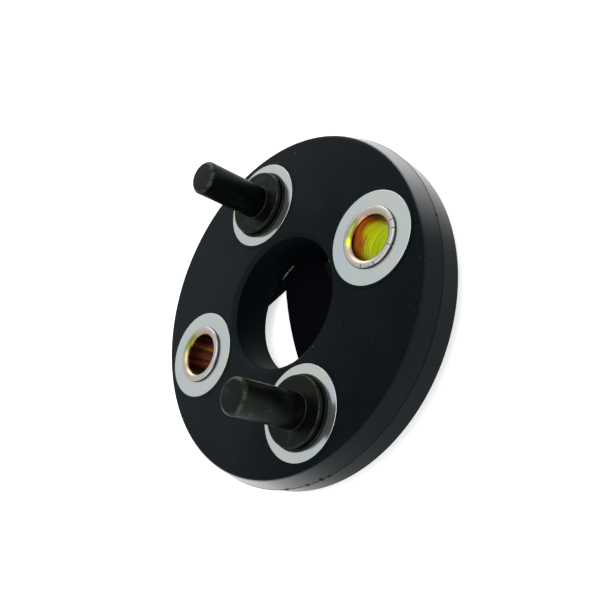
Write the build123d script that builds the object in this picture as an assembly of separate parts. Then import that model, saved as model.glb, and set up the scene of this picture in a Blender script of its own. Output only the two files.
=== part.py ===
"""Disc coupling: a moulded rubber disc that joins two shaft flanges end to end.

Two hollow rivets, the bushes, take the bolts of one flange, and two shouldered drive pins
enter the holes of the other. A flat steel yoke behind the disc ties the two pins together.

Millimetres. The part lies on its back: Z is the shaft axis, the pins stand up along +Z on
the Y axis, the bushes lie on the X axis, and Z = 0 is the yoke's flat rear face.
"""
from build123d import *
import math
import os

# Places of the four fastenings
pitch_circle_dia = 70.0          # bushes and pins share one circle
pitch_r = pitch_circle_dia / 2

# Rubber disc
disc_thickness = 13.0
face_edge_dia = 102.0            # where the flat faces would meet the drafted rim
parting_dia = 104.0              # widest, at the mould's parting line
parting_below_face = 6.0
flash_height = 0.3
flash_half_width = 0.35
rim_edge_radius = 1.6
centre_hole_dia = 38.6           # at its narrowest, at the rear face
centre_hole_draft = 0.2          # on radius, from the rear face to the front
hole_front_radius = 1.5
hole_rear_chamfer = 0.3

# Washers, let into both faces
washer_dia = 26.5
washer_thickness = 1.6
washer_stands_proud = 0.2
washer_edge_chamfer = 0.25
washer_lip_width = 0.8           # moulded rubber bead round each washer
washer_lip_height = 0.2

# Bushes: hollow rivets with both ends rolled over
bush_bore_dia = 12.2
bush_tube_dia = 15.2
bush_flare_dia = 17.2
bush_flare_height = 1.0
bush_mouth_radius = 0.8
bush_rim_chamfer = 0.3

# Drive pins
pin_dia = 10.0
pin_reach = 23.5                 # from the washer's face to the tip
pin_tip_chamfer = 0.9
pin_root_chamfer = 0.3
collar_dia = 19.4
collar_height = 2.5
collar_edge_chamfer = 0.3
collar_foot_dia = 20.6
collar_foot_height = 0.7
collar_groove_dia = 18.6
collar_groove_width = 0.4
shank_dia = 12.0
tenon_dia = 9.0
rivet_head_dia = 12.0
rivet_head_depth = 1.6

# Yoke: flat plate behind the disc, waisted to pass the bushes' rear ends
yoke_thickness = 4.0
yoke_waist_width = 18.3          # at its middle; the sides bow outwards
yoke_waist_end_width = 15.4      # where the waist meets the pads
yoke_pad_width = 42.0
yoke_pad_start = 16.2            # from the shaft axis to the pads, at the waist
yoke_pad_slope = 9.0             # degrees that the pads' inner edges turn back towards the axis
yoke_end_dia = 90.0
yoke_inner_corner_radius = 0.6
yoke_outer_corner_radius = 5.0
yoke_edge_chamfer = 0.4

# Levels that follow from the stack: yoke, rear washer, rubber, front washer
rear_washer_face = yoke_thickness
rubber_rear = rear_washer_face + washer_stands_proud
rubber_front = rubber_rear + disc_thickness
front_washer_face = rubber_front + washer_stands_proud
parting_level = rubber_front - parting_below_face
pin_tip = front_washer_face + pin_reach
seat_depth = washer_thickness - washer_stands_proud

bush_places = {"right": (pitch_r, 0), "left": (-pitch_r, 0)}
pin_places = {"upper": (0, pitch_r), "lower": (0, -pitch_r)}
all_places = {**bush_places, **pin_places}


def turned(outline, rounded=(), chamfered=()):
    """Revolves a closed (radius, level) outline about Z.

    rounded and chamfered list (corner, size) pairs: the outline's corners that are softened.
    """
    face = make_face(Polyline(*outline, close=True))
    for soften, corners in ((fillet, rounded), (chamfer, chamfered)):
        for corner, size in corners:
            spot = Vector(*outline[corner])
            vertex = min(face.vertices(), key=lambda v: (Vector(*v) - spot).length)
            face = soften(vertex, size)
    return revolve(Plane.XZ * face, Axis.Z)


def cylinder(place, diameter, low, high):
    return Pos(*place, low) * Cylinder(
        diameter / 2, high - low, align=(Align.CENTER, Align.CENTER, Align.MIN)
    )


def hole_dia_at(place):
    """Diameter of the metal that passes through the rubber and washers at a place."""
    return bush_tube_dia if place in bush_places.values() else shank_dia


def rubber_disc():
    face_r = face_edge_dia / 2
    rim_r = parting_dia / 2
    hole_r = centre_hole_dia / 2
    outline = [
        (hole_r, rubber_rear),
        (face_r, rubber_rear),
        (rim_r, parting_level - flash_half_width),
        (rim_r + flash_height, parting_level),
        (rim_r, parting_level + flash_half_width),
        (face_r, rubber_front),
        (hole_r + centre_hole_draft, rubber_front),
    ]
    rounded = [(1, rim_edge_radius), (5, rim_edge_radius), (6, hole_front_radius)]
    body = turned(outline, rounded, [(0, hole_rear_chamfer)])
    for place in all_places.values():
        lip_dia = washer_dia + 2 * washer_lip_width
        body += cylinder(place, lip_dia, rubber_front - 1, rubber_front + washer_lip_height)
        body -= cylinder(place, washer_dia, rubber_front - seat_depth, front_washer_face + 1)
        body -= cylinder(place, washer_dia, rubber_rear - 1, rubber_rear + seat_depth)
        body -= cylinder(place, hole_dia_at(place), rubber_rear, rubber_front)
    return body


def washer(place, outer_face, facing):
    """A flat washer whose exposed face is at outer_face; facing is 1 to the front, -1 to the rear."""
    inner_face = outer_face - facing * washer_thickness
    inner_r = hole_dia_at(place) / 2
    outline = [
        (inner_r, inner_face),
        (washer_dia / 2, inner_face),
        (washer_dia / 2, outer_face),
        (inner_r, outer_face),
    ]
    return Pos(*place, 0) * turned(outline, chamfered=[(2, washer_edge_chamfer)])


def bush(place):
    bore_r = bush_bore_dia / 2
    tube_r = bush_tube_dia / 2
    flare_r = bush_flare_dia / 2
    front = front_washer_face
    rear = rear_washer_face
    outline = [
        (bore_r, rear - bush_flare_height),
        (flare_r, rear - bush_flare_height),
        (flare_r, rear),
        (tube_r, rear),
        (tube_r, front),
        (flare_r, front),
        (flare_r, front + bush_flare_height),
        (bore_r, front + bush_flare_height),
    ]
    mouths = [(0, bush_mouth_radius), (7, bush_mouth_radius)]
    rims = [(1, bush_rim_chamfer), (6, bush_rim_chamfer)]
    return Pos(*place, 0) * turned(outline, mouths, rims)


def pin(place):
    foot = front_washer_face
    groove_low = foot + collar_foot_height
    groove_high = groove_low + collar_groove_width
    collar_top = foot + collar_height
    outline = [
        (0, 0),
        (rivet_head_dia / 2, 0),
        (tenon_dia / 2, rivet_head_depth),
        (tenon_dia / 2, rear_washer_face),
        (shank_dia / 2, rear_washer_face),
        (shank_dia / 2, foot),
        (collar_foot_dia / 2, foot),
        (collar_foot_dia / 2, groove_low),
        (collar_groove_dia / 2, groove_low),
        (collar_groove_dia / 2, groove_high),
        (collar_dia / 2, groove_high),
        (collar_dia / 2, collar_top - collar_edge_chamfer),
        (collar_dia / 2 - collar_edge_chamfer, collar_top),
        (pin_dia / 2, collar_top),
        (pin_dia / 2, pin_tip - pin_tip_chamfer),
        (pin_dia / 2 - pin_tip_chamfer, pin_tip),
        (0, pin_tip),
    ]
    return Pos(*place, 0) * turned(outline, chamfered=[(13, pin_root_chamfer)])


def yoke_notch():
    """What is cut away beside the waist, on the right."""
    waist_x = yoke_waist_end_width / 2
    past_pad_x = yoke_pad_width / 2 + 1
    past_pad_y = yoke_pad_start - (past_pad_x - waist_x) * math.tan(math.radians(yoke_pad_slope))
    lower = (waist_x, -yoke_pad_start)
    upper = (waist_x, yoke_pad_start)
    side = ThreePointArc(lower, (yoke_waist_width / 2, 0), upper)
    rest = Polyline(upper, (past_pad_x, past_pad_y), (past_pad_x, -past_pad_y), lower)
    return make_face([side, rest])


def yoke_plate():
    pads = Rectangle(yoke_pad_width, yoke_end_dia) & Circle(yoke_end_dia / 2)
    notch = yoke_notch()
    pads -= [notch, mirror(notch, Plane.YZ)]
    corners = pads.vertices()
    inner = corners.filter_by(lambda v: abs(abs(v.X) - yoke_waist_end_width / 2) < 0.01)
    outline = fillet(inner, yoke_inner_corner_radius)
    outer = outline.vertices().filter_by(lambda v: abs(v.Y) > pitch_r and abs(v.X) > yoke_waist_width)
    outline = fillet(outer, yoke_outer_corner_radius)
    plate = extrude(outline, yoke_thickness)
    rims = plate.edges().group_by(Axis.Z)
    plate = chamfer(rims[0] + rims[-1], yoke_edge_chamfer)
    for place in pin_places.values():
        plate -= cylinder(place, tenon_dia, 0, yoke_thickness)
        plate -= Pos(*place, 0) * Cone(
            rivet_head_dia / 2,
            tenon_dia / 2,
            rivet_head_depth,
            align=(Align.CENTER, Align.CENTER, Align.MIN),
        )
    return plate


parts = {"rubber_disc": rubber_disc(), "yoke_plate": yoke_plate()}
for name, place in all_places.items():
    parts[f"front_washer_{name}"] = washer(place, front_washer_face, 1)
    parts[f"rear_washer_{name}"] = washer(place, rear_washer_face, -1)
for name, place in bush_places.items():
    parts[f"bush_{name}"] = bush(place)
for name, place in pin_places.items():
    parts[f"drive_pin_{name}"] = pin(place)

os.makedirs("parts", exist_ok=True)
for name, shape in parts.items():
    export_step(shape, f"parts/{name}.step")
    print(f"{name}: {shape.volume:.1f} mm3")
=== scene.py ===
import math

import bmesh
import bpy
from mathutils import Matrix, Vector, noise


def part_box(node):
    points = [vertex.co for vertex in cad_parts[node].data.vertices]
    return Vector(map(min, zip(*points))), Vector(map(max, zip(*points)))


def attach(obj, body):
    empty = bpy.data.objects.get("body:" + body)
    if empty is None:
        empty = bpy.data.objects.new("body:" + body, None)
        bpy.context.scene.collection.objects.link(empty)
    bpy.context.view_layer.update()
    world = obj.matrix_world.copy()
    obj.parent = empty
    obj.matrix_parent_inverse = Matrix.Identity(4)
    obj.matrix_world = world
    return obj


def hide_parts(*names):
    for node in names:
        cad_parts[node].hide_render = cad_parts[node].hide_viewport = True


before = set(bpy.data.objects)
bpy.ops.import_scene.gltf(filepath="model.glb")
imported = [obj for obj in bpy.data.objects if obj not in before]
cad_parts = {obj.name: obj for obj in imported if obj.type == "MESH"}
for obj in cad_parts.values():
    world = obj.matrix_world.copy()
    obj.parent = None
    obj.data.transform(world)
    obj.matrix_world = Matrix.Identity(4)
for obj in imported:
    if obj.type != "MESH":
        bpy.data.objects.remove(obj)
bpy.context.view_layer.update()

bl_info = {
    "name": "Disc coupling finish",
    "version": (1, 0, 0),
    "blender": (4, 5, 0),
    "location": "3D View > Sidebar > Coupling",
    "description": "Builds the finished pieces of a rubber disc coupling around its fixed frame",
    "category": "Object",
}

MM = 0.001
BODY = "root"


# Places and levels, read from the frame

def centre_of(node):
    low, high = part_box(node)
    return (low + high) / 2


def radius_of(node):
    return centre_of(node).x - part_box(node)[0].x


def levels_of(node):
    low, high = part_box(node)
    return low.z, high.z


YOKE_REAR, YOKE_FRONT = levels_of("yoke_plate")
REAR_FACE = levels_of("rear_washer_right")[0]
WASHER_BACK, FRONT_FACE = levels_of("front_washer_right")
BUSH_REAR, BUSH_FRONT = levels_of("bush_right")
PIN_TIP = levels_of("drive_pin_upper")[1]
PITCH_RADIUS = centre_of("bush_right").x
WASHER_RADIUS = radius_of("front_washer_right")
BUSH_FLARE_RADIUS = radius_of("bush_right")
COLLAR_FOOT_RADIUS = radius_of("drive_pin_upper")
WASHER_THICKNESS = FRONT_FACE - WASHER_BACK
PROUD = 0.2 * MM
RUBBER_REAR = REAR_FACE + PROUD
RUBBER_FRONT = FRONT_FACE - PROUD

BUSHES = {"right": Vector((PITCH_RADIUS, 0, 0)), "left": Vector((-PITCH_RADIUS, 0, 0))}
PINS = {"upper": Vector((0, PITCH_RADIUS, 0)), "lower": Vector((0, -PITCH_RADIUS, 0))}
PLACES = {**BUSHES, **PINS}

# How far a tool that cuts stands past the face it cuts
CLEAR = 1.0 * MM

# Segments in a full turn
DISC_SEGMENTS = 256
WASHER_SEGMENTS = 160  # washers and bushes
PIN_SEGMENTS = 128  # pins, and the rubber's seats and beads
RIVET_SEGMENTS = 96


# Sizes and colours a user would change

def length(name, description, default):
    return bpy.props.FloatProperty(
        name=name, description=description, default=default, unit="LENGTH", precision=5
    )


def colour(name, description, default):
    return bpy.props.FloatVectorProperty(
        name=name, description=description, default=default, size=3, subtype="COLOR", min=0, max=1
    )


class RubberSettings(bpy.types.PropertyGroup):
    hole_radius: length("Hole radius", "Centre hole at the rear face", 19.3 * MM)
    hole_draft: length("Hole draft", "How much wider the hole is at the front, on radius", 0.2 * MM)
    hole_front: length("Hole front chamfer", "Chamfer of the hole's front edge", 1.25 * MM)
    hole_soft: length("Hole edge radius", "Rounding of the chamfer's own edges", 0.15 * MM)
    hole_rear: length("Hole rear radius", "Rounding of the hole's rear edge", 0.3 * MM)
    face_radius: length("Face radius", "Where the front face would meet the drafted rim", 50.4 * MM)
    rear_radius: length("Rear radius", "Where the rear face would meet the rim", 51.8 * MM)
    parting_radius: length("Parting radius", "Rim's widest radius, under the flash", 52.0 * MM)
    parting_level: length("Parting level", "Height of the parting line", 11.2 * MM)
    flash_height: length("Flash height", "How far the flash stands off the rim", 0.16 * MM)
    flash_half_width: length("Flash half width", "Half the flash's width", 0.2 * MM)
    flash_wander: length("Flash wander", "How far the parting line strays up and down", 0.16 * MM)
    rim_edge: length("Rim edge radius", "Rounding where the front face meets the rim", 1.0 * MM)
    rear_edge: length("Rear edge radius", "Rounding where the rear face meets the rim", 0.5 * MM)
    lip_width: length("Lip width", "Bead of rubber round each washer", 0.8 * MM)
    lip_height: length("Lip height", "How far the bead stands off the face", 0.2 * MM)
    base: colour("Rubber", "Moulded rubber", (0.0016, 0.0032, 0.0044))
    # Painted light: this grey is also laid on thicker towards the face's -x, +y side as a painted lighter side,
    # besides the real patchy blooming.
    bloom_and_light: colour("Bloom", "Grey bloom on the rubber's skin", (0.0110, 0.0142, 0.0158))
    rim: colour("Rim", "Rubbed skin of the rim", (0.0075, 0.0095, 0.0105))
    dust: colour("Dust", "Pale specks of dust", (0.16, 0.17, 0.17))
    # Painted shade: near black laid on the flash ridge along the parting line.
    flash_shade: colour("Crease", "Dark flash along the parting line", (0.001, 0.001, 0.001))
    # Painted highlight: a pale line at this distance outside the hole, along a faint moulding line, on the upper right
    # side only.
    witness_highlight: length("Witness line", "Faint moulding line outside the hole, from its wall", 3.0 * MM)


class WasherSettings(bpy.types.PropertyGroup):
    edge: length("Edge radius", "Rounding of the outer edge", 0.18 * MM)
    lathe_pitch: length("Lathe pitch", "Spacing of the fine turned lines", 0.22 * MM)
    # Painted shade: this ring is also a painted contact shadow at the foot of each bush rim and collar.
    grime_and_shade_width: length("Grime width", "Ring of dirt round a bush or a collar", 0.22 * MM)
    base: colour("Zinc", "Bright zinc plate", (0.44, 0.50, 0.51))
    warm: colour("Warm zinc", "Warmer tint in the zinc plate", (0.49, 0.51, 0.46))
    stain: colour("Stain", "Dull spots in the plate", (0.28, 0.30, 0.29))
    violet: colour("Violet zinc", "Faint violet film on the zinc plate", (0.48, 0.46, 0.53))
    # Painted shade: this dark colour is both dirt and a painted contact shadow round each bush rim and collar foot.
    grime_and_shade: colour("Grime", "Dirt caught where other pieces meet the washers", (0.02, 0.022, 0.02))


class BushSettings(bpy.types.PropertyGroup):
    bore_radius: length("Bore radius", "Hole for the flange's bolt", 6.1 * MM)
    tube_radius: length("Tube radius", "Outside of the hollow rivet", 7.6 * MM)
    mouth: length("Mouth radius", "Rounding of the rear mouth", 0.8 * MM)
    trumpet: length("Trumpet radius", "Wider rounding of the front mouth", 1.6 * MM)
    rim: length("Rim radius", "Rounding of the rolled rim", 0.35 * MM)
    undercut: length("Undercut", "Gap under the rolled rim's edge", 0.45 * MM)
    split_width: length("Split width", "Width of a split in the rolled rim", 0.25 * MM)
    silver: colour("Rolled rim", "Worn bright rim", (0.42, 0.41, 0.40))
    blush: colour("Blush", "Pink tint beside the bore", (0.43, 0.31, 0.21))
    olive: colour("Olive passivate", "Dull green in the passivate", (0.16, 0.21, 0.008))
    yellow: colour("Passivate", "Yellow passivated bore", (0.62, 0.68, 0.003))
    lime: colour("Green passivate", "Green-yellow deep in the bore", (0.40, 0.53, 0.003))
    gold: colour("Gold passivate", "Gold in the passivate", (0.66, 0.42, 0.004))
    orange: colour("Deep passivate", "Orange in the passivate", (0.60, 0.17, 0.006))
    red: colour("Red passivate", "Red in the passivate", (0.48, 0.070, 0.042))
    brown: colour("Dark passivate", "Brown in the passivate", (0.050, 0.013, 0.005))
    umber: colour("Umber", "Dull brown film in the left bore", (0.030, 0.020, 0.008))
    # Painted shade: a dark line along the rolled rim's outer edge, mostly on the right bush's upper-left side.
    rim_edge_shade: colour("Soot", "Dirt along the rolled rim's edge", (0.03, 0.03, 0.03))


class PinSettings(bpy.types.PropertyGroup):
    radius: length("Pin radius", "Free end of the pin", 5.0 * MM)
    tip_chamfer: length("Tip chamfer", "Chamfer of the tip", 0.9 * MM)
    root: length("Root radius", "Fillet between pin and collar", 0.3 * MM)
    collar_radius: length("Collar radius", "Upper step of the collar", 9.7 * MM)
    collar_height: length("Collar height", "Collar above the washer", 2.5 * MM)
    collar_edge: length("Collar edge", "Chamfer of the collar", 0.3 * MM)
    foot_height: length("Foot height", "Lower step of the collar", 0.7 * MM)
    groove_radius: length("Groove radius", "Bottom of the groove between the steps", 9.3 * MM)
    groove_width: length("Groove width", "Width of the groove", 0.4 * MM)
    shank_radius: length("Shank radius", "Shank through the rubber", 6.0 * MM)
    tenon_radius: length("Tenon radius", "Riveted tenon in the yoke", 4.5 * MM)
    rivet_radius: length("Rivet radius", "Peened head in the yoke's rear face", 6.0 * MM)
    rivet_depth: length("Rivet depth", "Depth of the peened head", 1.6 * MM)
    soft: length("Soft edge", "Rounding of the small corners", 0.15 * MM)
    base: colour("Phosphate", "Dark oiled phosphate", (0.0088, 0.0112, 0.0088))
    brown: colour("Brown phosphate", "Brown patches in the phosphate", (0.0150, 0.0135, 0.0098))
    green: colour("Green phosphate", "Paler green patches in the phosphate", (0.0250, 0.0340, 0.0270))
    # Also used as painted shade on the upper pin's shaft.
    deep: colour("Deep phosphate", "Blue-black patches in the phosphate", (0.0030, 0.0055, 0.0070))
    worn: colour("Worn edge", "Bright steel where the edges are worn", (0.20, 0.21, 0.185))


class YokeSettings(bpy.types.PropertyGroup):
    waist_width: length("Waist width", "Bar between the pads, at its middle", 18.3 * MM)
    waist_end: length("Waist end width", "Bar where it meets the pads", 15.4 * MM)
    pad_start: length("Pad start", "From the axis to the pads, at the waist", 16.2 * MM)
    pad_slope: bpy.props.FloatProperty(
        name="Pad slope", description="Turn of the pads' inner edges back towards the axis",
        default=math.radians(9), subtype="ANGLE",
    )
    inner_corner: length("Inner corner radius", "Corners at the waist", 0.6 * MM)
    outer_corner: length("Outer corner radius", "Corners of the pads", 5.0 * MM)
    edge: length("Edge", "Bevel round both faces", 0.4 * MM)
    # Painted highlight: radius of the bright glint painted beside the rubber's rear edge.
    glint_radius: length("Rubbed radius", "Where the rubber's rear edge works on the plate", 19.0 * MM)
    base: colour("Black", "Satin black finish", (0.0022, 0.0024, 0.0038))
    worn: colour("Worn steel", "Steel showing at rubbed edges", (0.012, 0.013, 0.014))
    # Painted highlight: the bright colour of a glint painted on the plate.
    glint: colour("Rubbed steel", "Bright marks where the rubber works against the plate", (0.30, 0.32, 0.33))


# Meshes

def spun(outline, corners, segments):
    """A closed solid of revolution about Z.

    outline is (radius, level) points; corners gives the rounding of some of them, by index.
    """
    section = bmesh.new()
    points = [section.verts.new((radius, 0, level)) for radius, level in outline]
    section.faces.new(points)
    for index, (size, steps) in corners.items():
        bmesh.ops.bevel(
            section, geom=[points[index]], offset=size, offset_type="OFFSET", affect="VERTICES",
            segments=steps, profile=0.5, material=-1,
        )
    bmesh.ops.delete(section, geom=list(section.faces), context="FACES_ONLY")
    bmesh.ops.spin(
        section, geom=list(section.verts) + list(section.edges), axis=(0, 0, 1), cent=(0, 0, 0),
        angle=math.tau, steps=segments, use_merge=True,
    )
    close_up(section)
    return section


def close_up(mesh):
    """Joins doubles, such as a pole's points, and turns every face outwards."""
    bmesh.ops.remove_doubles(mesh, verts=list(mesh.verts), dist=1e-7)
    bmesh.ops.dissolve_degenerate(mesh, edges=list(mesh.edges), dist=1e-8)
    bmesh.ops.recalc_face_normals(mesh, faces=list(mesh.faces))


def evenly(start, end, steps):
    """Equally spaced values from start to end, both included."""
    return [start + (end - start) * step / steps for step in range(steps + 1)]


def to_object(mesh, name, place=Vector()):
    """Turns a bmesh into an object at the origin, with its place in its mesh."""
    if not mesh.faces:
        raise RuntimeError(f"{name} has no faces")
    bmesh.ops.translate(mesh, verts=list(mesh.verts), vec=place)
    data = bpy.data.meshes.new(name)
    mesh.to_mesh(data)
    mesh.free()
    piece = bpy.data.objects.new(name, data)
    bpy.context.scene.collection.objects.link(piece)
    return piece


def carve(piece, cuts):
    """Applies boolean cuts to a piece. cuts is (operation, bmesh, place); the tools are deleted."""
    for operation, mesh, place in cuts:
        tool = to_object(mesh, "tool", place)
        cut = piece.modifiers.new("Cut", "BOOLEAN")
        cut.operation = operation
        cut.solver = "EXACT"
        cut.object = tool
        graph = bpy.context.evaluated_depsgraph_get()
        result = bpy.data.meshes.new_from_object(piece.evaluated_get(graph))
        if not result.polygons:
            raise RuntimeError(f"{piece.name} was cut away")
        piece.modifiers.clear()
        old = piece.data
        piece.data = result
        result.name = piece.name
        bpy.data.meshes.remove(old)
        bpy.data.objects.remove(tool)


def rod(radius, low, high):
    """A cylinder about Z."""
    mesh = bmesh.new()
    middle = Matrix.Translation((0, 0, (low + high) / 2))
    bmesh.ops.create_cone(
        mesh, cap_ends=True, segments=PIN_SEGMENTS, radius1=radius, radius2=radius,
        depth=high - low, matrix=middle,
    )
    return mesh


def block(size, centre, turn):
    """A box set at centre and then turned about Z."""
    mesh = bmesh.new()
    place = Matrix.Rotation(turn, 4, "Z") @ Matrix.Translation(centre) @ Matrix.Diagonal((*size, 1))
    bmesh.ops.create_cube(mesh, size=1, matrix=place)
    return mesh


def finish(piece, material, node, sharp=35):
    """Shades a piece, gives it its finish and puts it in the place of its node.

    sharp is the angle in degrees from which an edge stays sharp.
    """
    piece.data.materials.clear()
    piece.data.materials.append(material)
    for face in piece.data.polygons:
        face.use_smooth = True
    piece.data.set_sharp_from_angle(angle=math.radians(sharp))
    weights = piece.modifiers.new("Even shading", "WEIGHTED_NORMAL")
    weights.keep_sharp = True
    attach(piece, BODY)
    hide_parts(node)


def core_radius(scene, name):
    """Radius of the metal that passes through the rubber and the washers at a place."""
    if name in BUSHES:
        return scene.coupling_bush.tube_radius
    return scene.coupling_pin.shank_radius


# Shaders

class Value:
    """A number that varies over a surface. Python's operators add the Math nodes."""

    def __init__(self, shader, socket):
        self.shader = shader
        self.socket = socket

    def __add__(self, other):
        return self.shader.math("ADD", self, other)

    def __radd__(self, other):
        return self.shader.math("ADD", other, self)

    def __sub__(self, other):
        return self.shader.math("SUBTRACT", self, other)

    def __rsub__(self, other):
        return self.shader.math("SUBTRACT", other, self)

    def __mul__(self, other):
        return self.shader.math("MULTIPLY", self, other)

    def __rmul__(self, other):
        return self.shader.math("MULTIPLY", other, self)

    def __truediv__(self, other):
        return self.shader.math("DIVIDE", self, other)

    def __rtruediv__(self, other):
        return self.shader.math("DIVIDE", other, self)

    def __abs__(self):
        return self.shader.math("ABSOLUTE", self)

    def low(self, other):
        return self.shader.math("MINIMUM", self, other)

    def high(self, other):
        return self.shader.math("MAXIMUM", self, other)

    def step(self, start, end):
        """0 before start, 1 past end, smooth between. start may be the greater."""
        first, last = (0.0, 1.0) if start < end else (1.0, 0.0)
        settings = {"interpolation_type": "SMOOTHSTEP"}
        values = {
            "Value": self, "From Min": min(start, end), "From Max": max(start, end),
            "To Min": first, "To Max": last,
        }
        return Value(self.shader, self.shader.node("ShaderNodeMapRange", settings, values).outputs[0])


class Shader:
    """Builds the nodes of a material or a world."""

    def __init__(self, owner):
        self.owner = owner
        owner.use_nodes = True
        self.tree = owner.node_tree
        self.tree.nodes.clear()

    def node(self, kind, settings=None, values=None):
        """Adds a node, with its settings set first, then the values or links of its sockets."""
        made = self.tree.nodes.new(kind)
        for key, value in (settings or {}).items():
            if key == "stops":
                self.set_stops(made.color_ramp.elements, value)
            else:
                setattr(made, key, value)
        for key, value in (values or {}).items():
            if isinstance(value, Value):
                value = value.socket
            if isinstance(value, bpy.types.NodeSocket):
                self.tree.links.new(value, made.inputs[key])
            else:
                made.inputs[key].default_value = value
        return made

    def set_stops(self, elements, stops):
        while len(elements) < len(stops):
            elements.new(1.0)
        for element, (position, shade) in zip(elements, stops):
            element.position = position
            element.color = (*shade, 1)

    def math(self, operation, *values):
        made = self.node("ShaderNodeMath", {"operation": operation}, dict(enumerate(values)))
        return Value(self, made.outputs[0])

    def seen(self):
        """1 for what is seen, straight, mirrored or through glass; 0 for light that falls on things."""
        path = self.node("ShaderNodeLightPath").outputs
        straight, mirrored, through = (
            Value(self, path[ray]) for ray in ("Is Camera Ray", "Is Glossy Ray", "Is Transmission Ray")
        )
        return (straight + mirrored + through).low(1)


class Finish(Shader):
    """A piece's finish, laid out in object coordinates."""

    def __init__(self, name):
        super().__init__(bpy.data.materials.new(name))
        self.where = self.node("ShaderNodeTexCoord").outputs["Object"]
        parts = self.node("ShaderNodeSeparateXYZ", {}, {0: self.where}).outputs
        self.x, self.y, self.z = (Value(self, part) for part in parts)

    def noise(self, scale, detail=2.0, roughness=0.5, vector=None, distortion=0.0):
        """Soft random patches from 0 to 1, about scale of them to a metre."""
        values = {
            "Vector": vector or self.where, "Scale": scale, "Detail": detail,
            "Roughness": roughness, "Distortion": distortion,
        }
        return Value(self, self.node("ShaderNodeTexNoise", {}, values).outputs[0])

    def specks(self, scale):
        """Distance to the nearest of scattered points, in cells."""
        values = {"Vector": self.where, "Scale": scale}
        return Value(self, self.node("ShaderNodeTexVoronoi", {}, values).outputs["Distance"])

    def stretched(self, factors):
        """Object coordinates scaled by a different factor each way."""
        values = {"Vector": self.where, "Scale": factors}
        return self.node("ShaderNodeMapping", {}, values).outputs[0]

    def reach(self, x, y):
        """Length of the vector (x, y)."""
        return self.math("SQRT", x * x + y * y)

    def reach_from_bush(self):
        """Distance from the nearer bush's axis."""
        return self.reach(abs(self.x) - PITCH_RADIUS, self.y)

    def reach_from_pin(self):
        """Distance from the nearer pin's axis."""
        return self.reach(self.x, abs(self.y) - PITCH_RADIUS)

    def mix(self, factor, first, second):
        """Blends two colours, each a socket or a plain colour."""
        first, second = (
            shade if isinstance(shade, bpy.types.NodeSocket) else (*shade, 1) for shade in (first, second)
        )
        values = {0: factor, 6: first, 7: second}
        return self.node("ShaderNodeMix", {"data_type": "RGBA"}, values).outputs[2]

    def bump(self, height, strength, distance):
        values = {"Height": height, "Strength": strength, "Distance": distance}
        return self.node("ShaderNodeBump", {}, values).outputs[0]

    def surface(self, values):
        """Ends the finish with its surface, and returns the material."""
        made = self.node("ShaderNodeBsdfPrincipled", {}, values)
        self.node("ShaderNodeOutputMaterial", {}, {"Surface": made.outputs[0]})
        return self.owner


def rubber_material(settings):
    """Black rubber under patchy grey blooming and a little dust, painted lighter towards one side, with a painted
    highlight line outside the hole, painted shade on the flash and a gloss that runs round the rim.
    """
    shader = Finish("moulded_rubber")
    reach = shader.reach(shader.x, shader.y)
    facing = (shader.x - shader.y) * math.sqrt(0.5) / reach
    upper_right = (shader.x + shader.y) * math.sqrt(0.5) / reach
    cloud = shader.noise(55, detail=4, roughness=0.6)
    fine = shader.noise(900, detail=3, roughness=0.65)
    grain = shader.noise(4200, detail=1)
    # Painted light: the face is made lighter towards its -x, +y side, as if lit from there.
    side = (shader.y * 0.57 - shader.x * 0.82).step(-55 * MM, 50 * MM)
    bloom_and_light = (side * 0.8 + (cloud - 0.5) * 0.9 + (fine - 0.5) * 0.3).high(0).low(1)
    bloom_and_light = bloom_and_light * reach.step(settings.hole_radius + 0.22 * MM, settings.hole_radius + 0.36 * MM)
    # Painted highlight: a pale line along a faint moulding line round the hole, laid on the upper right side only.
    witness_highlight = abs(reach - settings.hole_radius - settings.witness_highlight).step(0.35 * MM, 0.10 * MM)
    bloom_and_light = bloom_and_light + witness_highlight * upper_right.step(0.70, 0.92) * 0.25
    speck = shader.specks(260).step(0.055, 0.03) * shader.noise(120).step(0.60, 0.66)
    mote = shader.specks(700).step(0.13, 0.07) * shader.noise(260).step(0.56, 0.62)
    rim = reach.step(settings.face_radius - 0.3 * MM, settings.face_radius + 0.1 * MM)
    flash = reach.step(settings.parting_radius + 0.02 * MM, settings.parting_radius + 0.07 * MM)
    gleam = 0.015 + (abs(facing) - upper_right * 0.06).step(0.82, 0.30)
    gleam = (gleam + abs(facing).step(0.95, 0.60) * (0.06 - upper_right * 0.06)).low(1)
    shade = shader.mix(bloom_and_light, settings.base, settings.bloom_and_light)
    shade = shader.mix(rim * 0.8, shade, settings.rim)
    shade = shader.mix(speck.high(mote * 0.22), shade, settings.dust)
    # Painted shade: the flash ridge is darkened to near black.
    shade = shader.mix(flash * 0.9, shade, settings.flash_shade)
    gloss = 0.42 + cloud * 0.12 + fine * 0.10 + speck * 0.3
    skin = rim * gleam * (1 - flash * 0.9)
    relief = shader.bump(fine * 0.6 + grain * 0.4, 0.25, 0.05 * MM)
    return shader.surface({
        "Base Color": shade, "Roughness": gloss, "Normal": relief, "Specular IOR Level": 0.035,
        "Specular Tint": (0.76, 1.0, 1.0, 1), "Coat Weight": skin, "Coat Roughness": 0.3, "Coat IOR": 2.6,
    })


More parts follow.
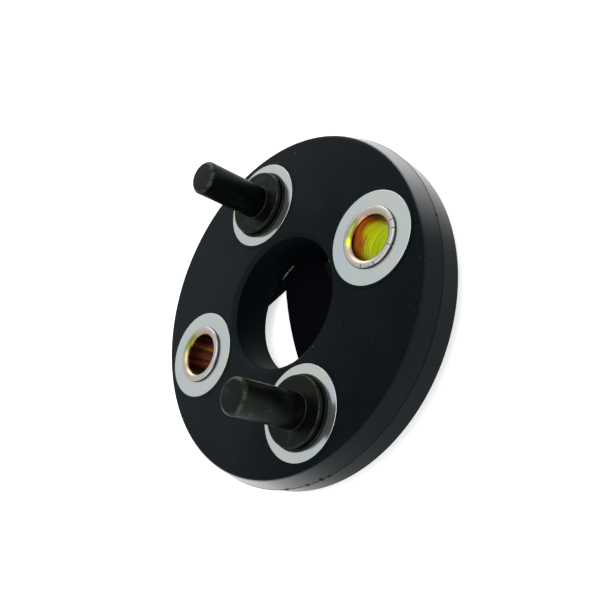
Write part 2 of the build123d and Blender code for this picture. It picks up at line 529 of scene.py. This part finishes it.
def zinc_material(settings):
    """Bright turned plate with warm and violet films, dull spots, and dirt with painted contact shade round what
    stands on it.
    """
    shader = Finish("bright_zinc")
    from_bush, from_pin = shader.reach_from_bush(), shader.reach_from_pin()
    cloud = shader.noise(90, detail=3, roughness=0.6)
    fine = shader.noise(1400, detail=3, roughness=0.7)
    lathe = shader.math("SINE", from_bush.low(from_pin) * (math.tau / settings.lathe_pitch) + cloud * 6)
    stain = shader.noise(420, detail=4, roughness=0.75).step(0.66, 0.80) * 0.5
    film = shader.noise(130, detail=3, roughness=0.6, distortion=0.8)
    # Dirt and painted contact shade in a thin ring round each bush rim's foot and each collar's foot.
    foot, seat = (
        reach.step(radius + settings.grime_and_shade_width, radius + 0.05 * MM)
        for reach, radius in ((from_bush, BUSH_FLARE_RADIUS), (from_pin, COLLAR_FOOT_RADIUS))
    )
    grime_and_shade = foot.high(seat) * 0.9
    shade = shader.mix(cloud.step(0.35, 0.65), settings.base, settings.warm)
    shade = shader.mix(film.step(0.54, 0.68) * 0.7, shade, settings.violet)
    shade = shader.mix(stain, shade, settings.stain)
    shade = shader.mix(grime_and_shade, shade, settings.grime_and_shade)
    gloss = 0.15 + fine * 0.06 + stain * 0.2 + grime_and_shade * 0.3
    relief = shader.bump(lathe * 0.35 + fine * 0.65, 0.05, 0.02 * MM)
    return shader.surface({
        "Base Color": shade, "Roughness": gloss, "Metallic": 0.92, "Normal": relief,
    })


def bush_material(settings):
    """Yellow passivate: banded by depth in the right bore, striped along the left one, worn off the rims."""
    shader = Finish("yellow_passivated")
    across = shader.x - shader.math("SIGN", shader.x) * PITCH_RADIUS
    reach = shader.reach(across, shader.y)
    left = shader.x.step(2 * MM, -2 * MM)
    streak = shader.noise(420, detail=3, roughness=0.6, vector=shader.stretched((1, 1, 0.06)))
    patch = shader.noise(160, detail=3, roughness=0.6)
    rings = shader.noise(900, detail=2, vector=shader.stretched((0.12, 0.12, 1)))
    middle = (shader.y * 0.70 - across * 0.72) / reach

    # The bore's tint runs from 0, lime, to 1, brown
    depth = (BUSH_FRONT - shader.z) / MM
    banded = (0.93 - depth * 0.090).low(0.73) + middle.step(0.78, 0.12) * 0.32
    banded = banded + (patch - 0.5) * 0.35 + (rings - 0.5) * 0.75
    striped = 0.78 + (streak - 0.5) * 1.9 + (patch - 0.5) * 0.2
    tint = banded + (striped - banded) * left
    stops = [
        (0.05, tuple(settings.lime)), (0.30, tuple(settings.yellow)), (0.40, tuple(settings.yellow)),
        (0.50, tuple(settings.gold)), (0.59, tuple(settings.orange)), (0.70, tuple(settings.red)),
        (0.86, tuple(settings.brown)),
    ]
    bore = shader.node("ShaderNodeValToRGB", {"stops": stops}, {0: tint}).outputs[0]
    hoops = shader.noise(2400, detail=2, vector=shader.stretched((0.05, 0.05, 1))).step(0.50, 0.64)
    bore = shader.mix(hoops * tint.step(0.56, 0.42) * (1 - left) * 0.5, bore, settings.olive)
    bore = shader.mix(left * 0.68, bore, settings.umber)

    # The rolled rim is bare, with passivate left on one side and painted shade along its outer edge on the far side
    crest = settings.bore_radius + settings.trumpet
    slope = reach.step(crest + 0.2 * MM, crest - 0.4 * MM)
    beside = (shader.y * (0.67 + left * 0.15) - across * (0.74 - left * 0.17)) / reach
    upper = (shader.y * 0.85 - across * 0.53) / reach
    broken = shader.noise(700, detail=2)
    gilt = slope * (beside + (patch - 0.5) * 0.3 + (broken - 0.5) * 0.3).step(0.72, 0.93)
    blush = slope * (beside + (patch - 0.5) * 0.8).step(-0.85, -0.10) * 0.8
    # Painted shade: a dark line on the rim's outer edge, strongest on the upper-left side.
    rim_edge_shade = reach.step(BUSH_FLARE_RADIUS - 0.42 * MM, BUSH_FLARE_RADIUS - 0.26 * MM)
    rim = shader.mix(blush, settings.silver, settings.blush)
    green = shader.mix(upper.step(0.78, 0.93).high(left * 0.7), settings.yellow, settings.olive)
    rim = shader.mix(gilt * 0.85, rim, green)
    rim = shader.mix(rim_edge_shade * middle.step(-0.20, 0.30) * (0.6 - left * 0.5), rim, settings.rim_edge_shade)

    inside = reach.step(settings.bore_radius + 0.40 * MM, settings.bore_radius + 0.12 * MM)
    relief = shader.bump(rings * 0.7 + shader.noise(1500, detail=2) * 0.3, 0.2, 0.04 * MM)
    return shader.surface({
        "Base Color": shader.mix(inside, rim, bore), "Roughness": 0.22 + streak * 0.16,
        "Metallic": 0.95, "Normal": relief,
    })


def pin_material(settings):
    """Mottled dark phosphate, worn bright on the edges of the tip and the collar, with painted shade darkening the
    upper pin's shaft.
    """
    shader = Finish("oiled_phosphate")
    reach = shader.reach_from_pin()
    cloud = shader.noise(150, detail=4, roughness=0.65)
    fine = shader.noise(2200, detail=3, roughness=0.7)
    mottle = shader.noise(210, detail=5, roughness=0.72, distortion=0.6)
    ragged = shader.noise(500, detail=4, roughness=0.7).step(0.40, 0.62)
    tip_start = PIN_TIP - settings.tip_chamfer
    collar_top = FRONT_FACE + settings.collar_height
    tip = shader.z.step(tip_start - 0.25 * MM, tip_start + 0.15 * MM)
    tip_edge = tip * reach.step(settings.radius - 1.2 * MM, settings.radius - 0.5 * MM)
    collar_edge = reach.step(settings.collar_radius - 0.45 * MM, settings.collar_radius - 0.2 * MM)
    collar_edge = collar_edge * shader.z.step(collar_top - 0.5 * MM, collar_top - 0.25 * MM)
    worn = (tip_edge * ragged * 0.15).high(collar_edge * ragged * 0.12)
    # Painted shade: the upper pin's shaft side is darkened towards blue-black.
    shaft_shade = reach.step(settings.radius - 0.3 * MM, settings.radius - 0.1 * MM)
    shaft_shade = shaft_shade * shader.z.step(collar_top + 0.1 * MM, collar_top + 0.6 * MM)
    shade = shader.mix(cloud.step(0.45, 0.75), settings.base, settings.brown)
    shade = shader.mix(mottle.step(0.52, 0.70) * 0.8, shade, settings.green)
    shade = shader.mix(mottle.step(0.46, 0.30) * 0.5, shade, settings.deep)
    shade = shader.mix(shaft_shade * shader.y.step(-5 * MM, 5 * MM) * 0.75, shade, settings.deep)
    shade = shader.mix(worn, shade, settings.worn)
    gloss = 0.20 + cloud * 0.12 + mottle * 0.10 + fine * 0.06
    relief = shader.bump(fine * 0.6 + cloud * 0.4, 0.2, 0.04 * MM)
    return shader.surface({
        "Base Color": shade, "Roughness": gloss, "Metallic": 0.9, "Normal": relief,
        "Specular Tint": (0.66, 0.68, 0.66, 1),
    })


def yoke_material(settings):
    """Satin black, a little scuffed, with a painted glint on the waist beside the rubber's edge."""
    shader = Finish("satin_black")
    reach = shader.reach(shader.x, shader.y)
    cloud = shader.noise(110, detail=4, roughness=0.6)
    fine = shader.noise(1700, detail=3, roughness=0.7)
    scuff = shader.noise(60, detail=5, roughness=0.75).step(0.62, 0.80) * 0.25
    # Painted highlight: a small bright glint on the plate just inside the hole's rear edge, for x from -9 to -2.5 mm.
    glint_mark = abs(reach - settings.glint_radius).step(0.40 * MM, 0.15 * MM)
    glint_mark = glint_mark * shader.x.step(-2.5 * MM, -4.0 * MM) * shader.x.step(-9.0 * MM, -7.5 * MM)
    shade = shader.mix(scuff, settings.base, settings.worn)
    shade = shader.mix(glint_mark * fine.step(0.35, 0.6), shade, settings.glint)
    gloss = 0.38 + cloud * 0.18 + scuff * 0.2
    relief = shader.bump(fine * 0.7 + cloud * 0.3, 0.25, 0.05 * MM)
    return shader.surface({
        "Base Color": shade, "Roughness": gloss, "Normal": relief, "Specular IOR Level": 0.006,
    })


# Pieces

# Torn flash on the parting line: angle round the rim in degrees, width and height in millimetres
FLASH_NIBS = [(-106.0, 1.9, 0.9), (-97.5, 1.7, 1.1), (-92.0, 1.0, 1.9), (-89.0, 1.5, 0.9), (-1.5, 1.4, 0.7)]
NIB_DEPTH = 0.36 * MM
NIB_SUNK = 0.05 * MM

# Splits in a bush's rolled rim: angle in degrees and depth in from the edge in millimetres
RIM_SPLITS = {"right": [(1, 1.1), (-17, 0.9), (-48, 1.3), (-93, 0.8), (-123, 1.0)], "left": []}


class COUPLING_OT_rubber_disc(bpy.types.Operator):
    """Mould the rubber disc, with its seats, lips, parting line and flash"""

    bl_idname = "coupling.rubber_disc"
    bl_label = "Rubber disc"

    def execute(self, context):
        size = context.scene.coupling_rubber
        hole_mouth = size.hole_radius + size.hole_draft
        outline = [
            (size.hole_radius, RUBBER_REAR),
            (size.rear_radius, RUBBER_REAR),
            (size.parting_radius, size.parting_level - size.flash_half_width),
            (size.parting_radius + size.flash_height, size.parting_level),
            (size.parting_radius, size.parting_level + size.flash_half_width),
            (size.face_radius, RUBBER_FRONT),
            (hole_mouth + size.hole_front, RUBBER_FRONT),
            (hole_mouth, RUBBER_FRONT - size.hole_front),
        ]
        corners = {
            0: (size.hole_rear, 3), 1: (size.rear_edge, 4), 5: (size.rim_edge, 6),
            6: (size.hole_soft, 3), 7: (size.hole_soft, 3),
        }
        mesh = spun(outline, corners, DISC_SEGMENTS)
        self.wander(mesh, size)
        piece = to_object(mesh, "rubber_disc_moulded")
        cuts = [("UNION", self.lip(size), place) for place in PLACES.values()]
        cuts += [("UNION", self.nib(size, *torn), Vector()) for torn in FLASH_NIBS]
        seat = WASHER_THICKNESS - PROUD
        for name, place in PLACES.items():
            for radius, low, high in (
                (WASHER_RADIUS, RUBBER_FRONT - seat, FRONT_FACE + CLEAR),
                (WASHER_RADIUS, REAR_FACE - CLEAR, RUBBER_REAR + seat),
                (core_radius(context.scene, name), REAR_FACE, FRONT_FACE),
            ):
                cuts.append(("DIFFERENCE", rod(radius, low, high), place))
        carve(piece, cuts)
        finish(piece, rubber_material(size), "rubber_disc", sharp=50)
        return {"FINISHED"}

    def wander(self, mesh, size):
        """Lets the parting line stray a little up and down round the rim."""
        for vert in mesh.verts:
            on_line = abs(vert.co.z - size.parting_level) < 2 * size.flash_half_width
            if on_line and vert.co.xy.length > size.face_radius:
                stray = noise.noise(vert.co * 60) + 0.5 * noise.noise(vert.co * 210)
                vert.co.z += size.flash_wander * stray

    def lip(self, size):
        """Bead of rubber round one washer, rooted in the front face."""
        inner = WASHER_RADIUS - 0.3 * MM
        outer = WASHER_RADIUS + size.lip_width
        low = RUBBER_FRONT - 0.5 * MM
        high = RUBBER_FRONT + size.lip_height
        outline = [(inner, low), (outer, low), (outer, high), (inner, high)]
        return spun(outline, {2: (size.lip_height * 0.9, 4)}, PIN_SEGMENTS)

    def nib(self, size, angle, width, height):
        """A flattened ball of flash, half sunk in the rim."""
        mesh = bmesh.new()
        turn = Matrix.Rotation(math.radians(angle), 4, "Z")
        place = Matrix.Translation((size.parting_radius - NIB_SUNK, 0, size.parting_level))
        form = Matrix.Diagonal((NIB_DEPTH, width * MM / 2, height * MM / 2, 1))
        bmesh.ops.create_icosphere(mesh, subdivisions=2, radius=1, matrix=turn @ place @ form)
        return mesh


class COUPLING_OT_washers(bpy.types.Operator):
    """Turn the eight washers, four let into each face"""

    bl_idname = "coupling.washers"
    bl_label = "Washers"

    def execute(self, context):
        size = context.scene.coupling_washer
        material = zinc_material(size)
        for name, place in PLACES.items():
            inner = core_radius(context.scene, name)
            for side, face, inward in (("front", FRONT_FACE, -1), ("rear", REAR_FACE, 1)):
                back = face + inward * WASHER_THICKNESS
                outline = [(inner, back), (WASHER_RADIUS, back), (WASHER_RADIUS, face), (inner, face)]
                mesh = spun(outline, {2: (size.edge, 4)}, WASHER_SEGMENTS)
                piece = to_object(mesh, f"{side}_washer_{name}_turned", place)
                finish(piece, material, f"{side}_washer_{name}")
        return {"FINISHED"}


class COUPLING_OT_bushes(bpy.types.Operator):
    """Roll the two hollow rivets over their washers, and split the right one's rim"""

    bl_idname = "coupling.bushes"
    bl_label = "Bushes"

    def execute(self, context):
        size = context.scene.coupling_bush
        material = bush_material(size)
        outline = [
            (size.bore_radius, BUSH_REAR),
            (BUSH_FLARE_RADIUS, BUSH_REAR),
            (BUSH_FLARE_RADIUS, REAR_FACE),
            (size.tube_radius, REAR_FACE),
            (size.tube_radius, FRONT_FACE),
            (BUSH_FLARE_RADIUS - size.undercut, FRONT_FACE),
            (BUSH_FLARE_RADIUS, FRONT_FACE + size.undercut),
            (BUSH_FLARE_RADIUS, BUSH_FRONT),
            (size.bore_radius, BUSH_FRONT),
        ]
        corners = {0: (size.mouth, 6), 1: (size.rim, 4), 7: (size.rim, 4), 8: (size.trumpet, 10)}
        for name, place in BUSHES.items():
            piece = to_object(spun(outline, corners, WASHER_SEGMENTS), f"bush_{name}_rolled", place)
            carve(piece, [("DIFFERENCE", self.split(size, *torn), place) for torn in RIM_SPLITS[name]])
            finish(piece, material, f"bush_{name}", sharp=40)
        return {"FINISHED"}

    def split(self, size, angle, depth):
        """A narrow slot, open outwards and upwards, that leaves the rim's foot whole."""
        past_edge = 0.1 * MM
        past_top = 0.2 * MM
        deep = depth * MM
        high = BUSH_FRONT - FRONT_FACE
        centre = (BUSH_FLARE_RADIUS - deep / 2 + past_edge, 0, FRONT_FACE + high / 2 + past_top)
        return block((deep + 2 * past_edge, size.split_width, high), centre, math.radians(angle))


class COUPLING_OT_pins(bpy.types.Operator):
    """Turn the two shouldered drive pins"""

    bl_idname = "coupling.pins"
    bl_label = "Drive pins"

    def execute(self, context):
        size = context.scene.coupling_pin
        material = pin_material(size)
        foot = FRONT_FACE
        groove_low = foot + size.foot_height
        groove_high = groove_low + size.groove_width
        top = foot + size.collar_height
        outline = [
            (0, YOKE_REAR),
            (size.rivet_radius, YOKE_REAR),
            (size.tenon_radius, YOKE_REAR + size.rivet_depth),
            (size.tenon_radius, YOKE_FRONT),
            (size.shank_radius, YOKE_FRONT),
            (size.shank_radius, foot),
            (COLLAR_FOOT_RADIUS, foot),
            (COLLAR_FOOT_RADIUS, groove_low),
            (size.groove_radius, groove_low),
            (size.groove_radius, groove_high),
            (size.collar_radius, groove_high),
            (size.collar_radius, top),
            (size.radius, top),
            (size.radius, PIN_TIP - size.tip_chamfer),
            (size.radius - size.tip_chamfer, PIN_TIP),
            (0, PIN_TIP),
        ]
        corners = {
            7: (size.soft, 3), 10: (size.soft, 2), 11: (size.collar_edge, 4), 12: (size.root, 5),
            13: (size.soft * 2, 3), 14: (size.soft * 2, 3),
        }
        for name, place in PINS.items():
            piece = to_object(spun(outline, corners, PIN_SEGMENTS), f"drive_pin_{name}_turned", place)
            finish(piece, material, f"drive_pin_{name}", sharp=32)
        return {"FINISHED"}


class COUPLING_OT_yoke(bpy.types.Operator):
    """Stamp the yoke plate that ties the pins"""

    bl_idname = "coupling.yoke"
    bl_label = "Yoke plate"

    def execute(self, context):
        size = context.scene.coupling_yoke
        pin = context.scene.coupling_pin
        low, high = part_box("yoke_plate")
        piece = to_object(self.plate(size, low, high), "yoke_plate_stamped")
        head = [
            (0, low.z - CLEAR), (pin.rivet_radius, low.z - CLEAR), (pin.rivet_radius, low.z),
            (pin.tenon_radius, low.z + pin.rivet_depth), (pin.tenon_radius, high.z + CLEAR), (0, high.z + CLEAR),
        ]
        carve(piece, [("DIFFERENCE", spun(head, {}, RIVET_SEGMENTS), place) for place in PINS.values()])
        finish(piece, yoke_material(size), "yoke_plate")
        return {"FINISHED"}

    def waist(self, size):
        """The bowed side of the bar, from the axis to the inner corner."""
        half = size.waist_end / 2
        bow = size.waist_width / 2 - half
        return [(half + bow * (1 - t * t), size.pad_start * t) for t in evenly(0, 1, 8)]

    def pad(self, size, side, end):
        """A pad's outline past the inner corner, from its side to its round end."""
        corner = (side, size.pad_start - math.tan(size.pad_slope) * (side - size.waist_end / 2))
        round_x = side - size.outer_corner
        round_y = math.sqrt((end - size.outer_corner) ** 2 - round_x ** 2)
        meets = math.atan2(round_y, round_x)
        shoulder = [
            (round_x + size.outer_corner * math.cos(turn), round_y + size.outer_corner * math.sin(turn))
            for turn in evenly(0, meets, 6)
        ]
        crown = [(end * math.cos(turn), end * math.sin(turn)) for turn in evenly(meets, math.pi / 2, 10)]
        return [corner, *shoulder, *crown[1:]]

    def plate(self, size, low, high):
        """A quarter of the outline, mirrored twice, thickened and softened."""
        waist = self.waist(size)
        quarter = [(0, 0), *waist, *self.pad(size, high.x, high.y)]
        mesh = bmesh.new()
        points = [mesh.verts.new((x, y, low.z)) for x, y in quarter]
        mesh.faces.new(points)
        inner_corner = points[len(waist)]
        bmesh.ops.bevel(
            mesh, geom=[inner_corner], offset=size.inner_corner, offset_type="OFFSET", affect="VERTICES",
            segments=4, profile=0.5, material=-1,
        )
        for axis in "XY":
            bmesh.ops.mirror(mesh, geom=mesh.verts[:] + mesh.edges[:] + mesh.faces[:], axis=axis, merge_dist=1e-6)
        bmesh.ops.recalc_face_normals(mesh, faces=list(mesh.faces))
        bmesh.ops.dissolve_limit(
            mesh, angle_limit=math.radians(0.5), verts=list(mesh.verts), edges=list(mesh.edges)
        )
        raised = bmesh.ops.extrude_face_region(mesh, geom=list(mesh.faces))["geom"]
        top = [item for item in raised if isinstance(item, bmesh.types.BMVert)]
        bmesh.ops.translate(mesh, verts=top, vec=(0, 0, high.z - low.z))
        bmesh.ops.recalc_face_normals(mesh, faces=list(mesh.faces))
        rims = [
            edge for edge in mesh.edges
            if edge.verts[0].co.z == edge.verts[1].co.z and edge.calc_face_angle() > math.radians(45)
        ]
        bmesh.ops.bevel(
            mesh, geom=rims, offset=size.edge, offset_type="OFFSET", affect="EDGES",
            segments=3, profile=0.5, material=-1,
        )
        return mesh


# Stage

class StageSettings(bpy.types.PropertyGroup):
    lens: bpy.props.FloatProperty(name="Lens", description="Focal length, on a 36 mm sensor", default=48.6, min=10)
    camera_place: bpy.props.FloatVectorProperty(
        name="Camera place", description="Where the camera stands",
        default=(129.08 * MM, -120.67 * MM, 165.41 * MM), subtype="TRANSLATION", unit="LENGTH", precision=5,
    )
    camera_turn: bpy.props.FloatVectorProperty(
        name="Camera turn", description="How the camera is turned",
        default=[math.radians(turn) for turn in (22.383, 44.408, -13.357)], subtype="EULER",
    )
    floor_size: length("Floor size", "Side of the floor", 6.0)
    floor_gap: length("Floor gap", "Keeps the floor just clear of the yoke's rear face", 0.02 * MM)
    floor: colour("Floor", "Plain pale floor", (0.90, 0.90, 0.90))
    floor_glow: bpy.props.FloatProperty(
        name="Floor glow", description="How far the floor is lifted towards white where it is seen", default=0.6, min=0
    )
    sky: colour("Sky", "Soft light from all round", (0.93, 0.96, 1.0))
    sky_level: bpy.props.FloatProperty(
        name="Sky level", description="Strength of the light from all round", default=0.6, min=0
    )


def lamp(name, place, size, power):
    """A round soft lamp, turned towards the part's middle."""
    light = bpy.data.lights.new(name, "AREA")
    light.shape = "DISK"
    light.size = size
    light.energy = power
    piece = bpy.data.objects.new(name, light)
    piece.location = place
    target = Vector((0, 0, 10 * MM))
    piece.rotation_euler = (target - Vector(place)).to_track_quat("-Z", "Y").to_euler()
    bpy.context.scene.collection.objects.link(piece)


class COUPLING_OT_stage(bpy.types.Operator):
    """Set the floor, the soft lights and the camera"""

    bl_idname = "coupling.stage"
    bl_label = "Stage"

    def execute(self, context):
        settings = context.scene.coupling_stage
        self.floor(settings)
        self.world(settings)
        lamp("key", place=(0.32, 0.05, 0.85), size=1.0, power=4.0)
        lamp("back", place=(-0.05, 0.90, 0.38), size=0.8, power=3.5)
        lamp("fill", place=(-0.10, -0.75, 0.22), size=0.8, power=1.8)
        self.camera(settings)
        context.scene.view_settings.view_transform = "Standard"
        return {"FINISHED"}

    def floor(self, settings):
        """A matt floor that holds the part's shadow, and glows towards white only where it is seen."""
        mesh = bmesh.new()
        under = Matrix.Translation((0, 0, YOKE_REAR - settings.floor_gap))
        bmesh.ops.create_grid(mesh, x_segments=1, y_segments=1, size=settings.floor_size / 2, matrix=under)
        piece = to_object(mesh, "floor")
        shader = Shader(bpy.data.materials.new("pale_floor"))
        matt = shader.node("ShaderNodeBsdfDiffuse", {}, {"Color": (*settings.floor, 1)})
        glow = shader.node("ShaderNodeEmission", {}, {"Strength": shader.seen() * settings.floor_glow})
        both = shader.node("ShaderNodeAddShader", {}, {0: matt.outputs[0], 1: glow.outputs[0]})
        shader.node("ShaderNodeOutputMaterial", {}, {"Surface": both.outputs[0]})
        piece.data.materials.append(shader.owner)

    def world(self, settings):
        """Soft light from all round, and plain white where it is seen."""
        shader = Shader(bpy.data.worlds.new("studio"))
        sky = shader.node(
            "ShaderNodeBackground", {}, {"Color": (*settings.sky, 1), "Strength": settings.sky_level}
        )
        white = shader.node("ShaderNodeBackground", {}, {"Color": (1, 1, 1, 1), "Strength": 1.0})
        pick = shader.node("ShaderNodeMixShader", {}, {0: shader.seen(), 1: sky.outputs[0], 2: white.outputs[0]})
        shader.node("ShaderNodeOutputWorld", {}, {"Surface": pick.outputs[0]})
        bpy.context.scene.world = shader.owner

    def camera(self, settings):
        data = bpy.data.cameras.new("camera")
        data.sensor_width = 36
        data.lens = settings.lens
        camera = bpy.data.objects.new("camera", data)
        camera.location = settings.camera_place
        camera.rotation_euler = settings.camera_turn
        bpy.context.scene.collection.objects.link(camera)
        bpy.context.scene.camera = camera


class COUPLING_PT_panel(bpy.types.Panel):
    """Lists the coupling's pieces and their settings"""

    bl_idname = "COUPLING_PT_panel"
    bl_label = "Disc coupling"
    bl_space_type = "VIEW_3D"
    bl_region_type = "UI"
    bl_category = "Coupling"

    def draw(self, context):
        for operator, group in STEPS:
            box = self.layout.box()
            box.operator(operator.bl_idname)
            settings = getattr(context.scene, group)
            for name in settings.bl_rna.properties.keys():
                if name not in ("rna_type", "name"):
                    box.prop(settings, name)


GROUPS = {
    "coupling_rubber": RubberSettings,
    "coupling_washer": WasherSettings,
    "coupling_bush": BushSettings,
    "coupling_pin": PinSettings,
    "coupling_yoke": YokeSettings,
    "coupling_stage": StageSettings,
}
STEPS = [
    (COUPLING_OT_rubber_disc, "coupling_rubber"),
    (COUPLING_OT_washers, "coupling_washer"),
    (COUPLING_OT_bushes, "coupling_bush"),
    (COUPLING_OT_pins, "coupling_pin"),
    (COUPLING_OT_yoke, "coupling_yoke"),
    (COUPLING_OT_stage, "coupling_stage"),
]
CLASSES = [*GROUPS.values(), *(operator for operator, group in STEPS), COUPLING_PT_panel]


def register():
    for item in CLASSES:
        bpy.utils.register_class(item)
    for name, group in GROUPS.items():
        setattr(bpy.types.Scene, name, bpy.props.PointerProperty(type=group))


def unregister():
    for name in GROUPS:
        delattr(bpy.types.Scene, name)
    for item in reversed(CLASSES):
        bpy.utils.unregister_class(item)


def main():
    register()
    for operator, group in STEPS:
        family, name = operator.bl_idname.split(".")
        getattr(getattr(bpy.ops, family), name)()


if __name__ == "__main__":
    main()
